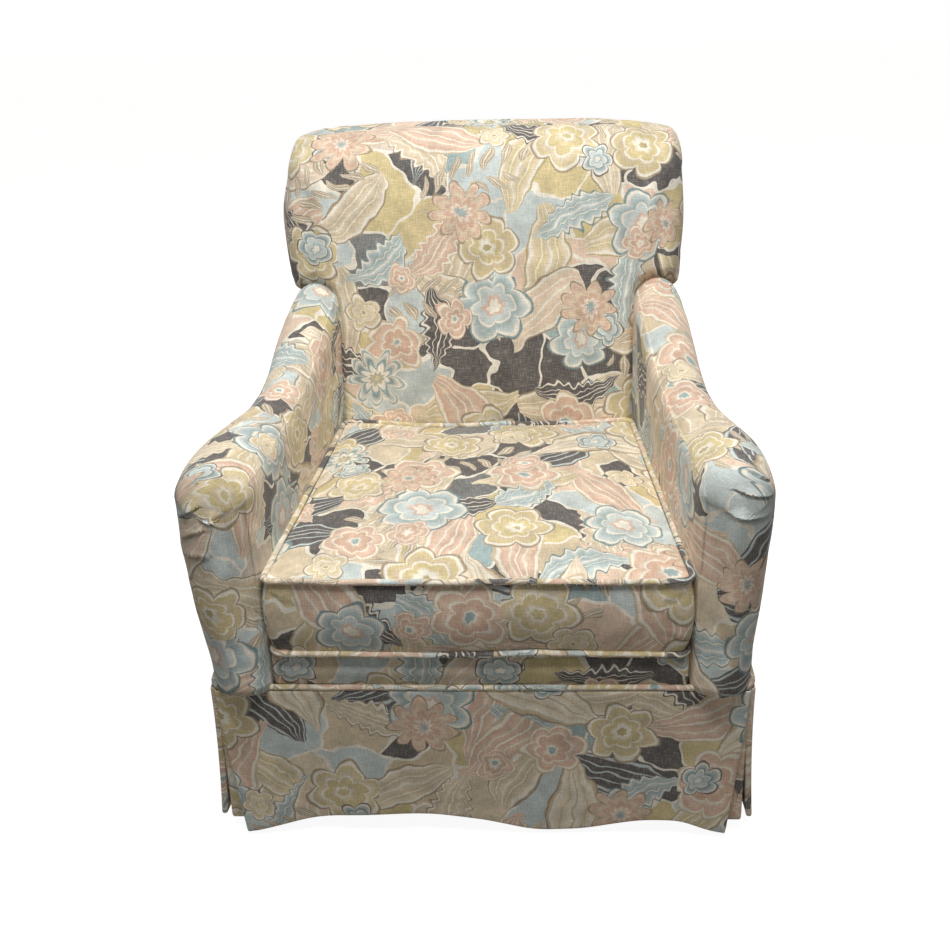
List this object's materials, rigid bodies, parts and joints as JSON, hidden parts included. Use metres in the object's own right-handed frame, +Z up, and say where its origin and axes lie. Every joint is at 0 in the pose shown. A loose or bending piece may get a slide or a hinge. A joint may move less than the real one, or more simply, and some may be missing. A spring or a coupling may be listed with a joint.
{
  "type": "swivel glider chair",
  "caption": "Skirted upholstered armchair with a tight T-shaped back, rolled arms and a loose boxed seat cushion, on a concealed base that swivels and glides.",
  "frame": {"origin": "on the floor, on the swivel axis, in the middle of the base ring", "axes": "+X towards the sitter's left, +Y towards the chair's back, +Z up; the seat faces -Y"},
  "size_m": [0.8066, 0.8469, 0.9356],
  "materials": {
    "powder_coated_steel": "satin black powder coat",
    "bright_steel": "zinc plated",
    "spring_steel": "oiled wire",
    "nylon": "matte",
    "rubber": "matte",
    "hardwood": "raw sawn hardwood",
    "printed_linen": "linen-weave cloth with a floral print",
    "deck_cloth": "plain woven decking",
    "burlap": "coarse weave",
    "black_lining": "thin non-woven cloth",
    "seat_foam": "open-cell foam"
  },
  "bodies": {
    "base": {"floor_ring": "nylon", "base_ring": "powder_coated_steel", "base_cross": "powder_coated_steel", "lower_race": "bright_steel", "base_fasteners": "bright_steel", "kingpin": "bright_steel"},
    "bearing": {"bearing_balls": "bright_steel", "ball_cage": "nylon"},
    "carriage": {"upper_race": "bright_steel", "swivel_plate": "powder_coated_steel", "carriage_bolts": "bright_steel", "glide_bracket_left": "powder_coated_steel", "glide_bracket_right": "powder_coated_steel", "upper_pivot_pins": "bright_steel", "glide_bumpers": "rubber"},
    "front_links": {"front_links": "powder_coated_steel", "front_link_bushes": "nylon"},
    "rear_links": {"rear_links": "powder_coated_steel", "rear_link_bushes": "nylon"},
    "cushion": {"cushion_cover": "printed_linen", "cushion_core": "seat_foam", "cushion_welts": "printed_linen"},
    "chair": {"carrier_left": "powder_coated_steel", "carrier_right": "powder_coated_steel", "lower_pivot_pins": "bright_steel", "carrier_bolts": "bright_steel", "spring_clips": "bright_steel", "seat_springs": "spring_steel", "back_springs": "spring_steel", "front_rail": "hardwood", "rear_rail": "hardwood", "side_rail_left": "hardwood", "side_rail_right": "hardwood", "mechanism_rails": "hardwood", "frame_blocks": "hardwood", "back_post_left": "hardwood", "back_post_right": "hardwood", "back_top_rail": "hardwood", "back_lower_rail": "hardwood", "arm_frame_left": "hardwood", "arm_frame_right": "hardwood", "skirt_battens": "hardwood", "front_border": "printed_linen", "inside_back": "printed_linen", "outside_back": "printed_linen", "skirt_front": "printed_linen", "skirt_back": "printed_linen", "skirt_left": "printed_linen", "skirt_right": "printed_linen", "kick_pleats": "printed_linen", "skirt_welt": "printed_linen", "arm_left": "printed_linen", "arm_right": "printed_linen", "arm_panel_left": "printed_linen", "arm_panel_right": "printed_linen", "seat_deck": "deck_cloth", "back_burlap": "burlap", "dust_cover": "black_lining"}
  },
  "joints": [
    {"name": "swivel", "type": "hinge", "parent": "base", "child": "carriage", "pos_m": [0, 0, 0.04], "axis": [0, 0, 1], "continuous": true},
    {"name": "ball_cage_turn", "type": "hinge", "parent": "base", "child": "bearing", "pos_m": [0, 0, 0.0375], "axis": [0, 0, 1], "continuous": true},
    {"name": "glide", "type": "hinge", "parent": "carriage", "child": "front_links", "pos_m": [0, -0.09, 0.175], "axis": [1, 0, 0], "range_deg": [-33, 33]},
    {"name": "rear_link_swing", "type": "hinge", "parent": "carriage", "child": "rear_links", "pos_m": [0, 0.09, 0.175], "axis": [1, 0, 0], "range_deg": [-33, 33]},
    {"name": "chair_level", "type": "hinge", "parent": "front_links", "child": "chair", "pos_m": [0, -0.09, 0.08], "axis": [1, 0, 0], "range_deg": [-33, 33]},
    {"name": "seat_cushion_lift", "type": "slide", "parent": "chair", "child": "cushion", "axis": [0, 0, 1], "range_m": [0, 0.25]}
  ],
  "couplings": [
    {"joint": "ball_cage_turn", "follows": "swivel", "ratio": 0.5},
    {"joint": "rear_link_swing", "follows": "glide", "ratio": 1},
    {"joint": "chair_level", "follows": "glide", "ratio": -1}
  ]
}
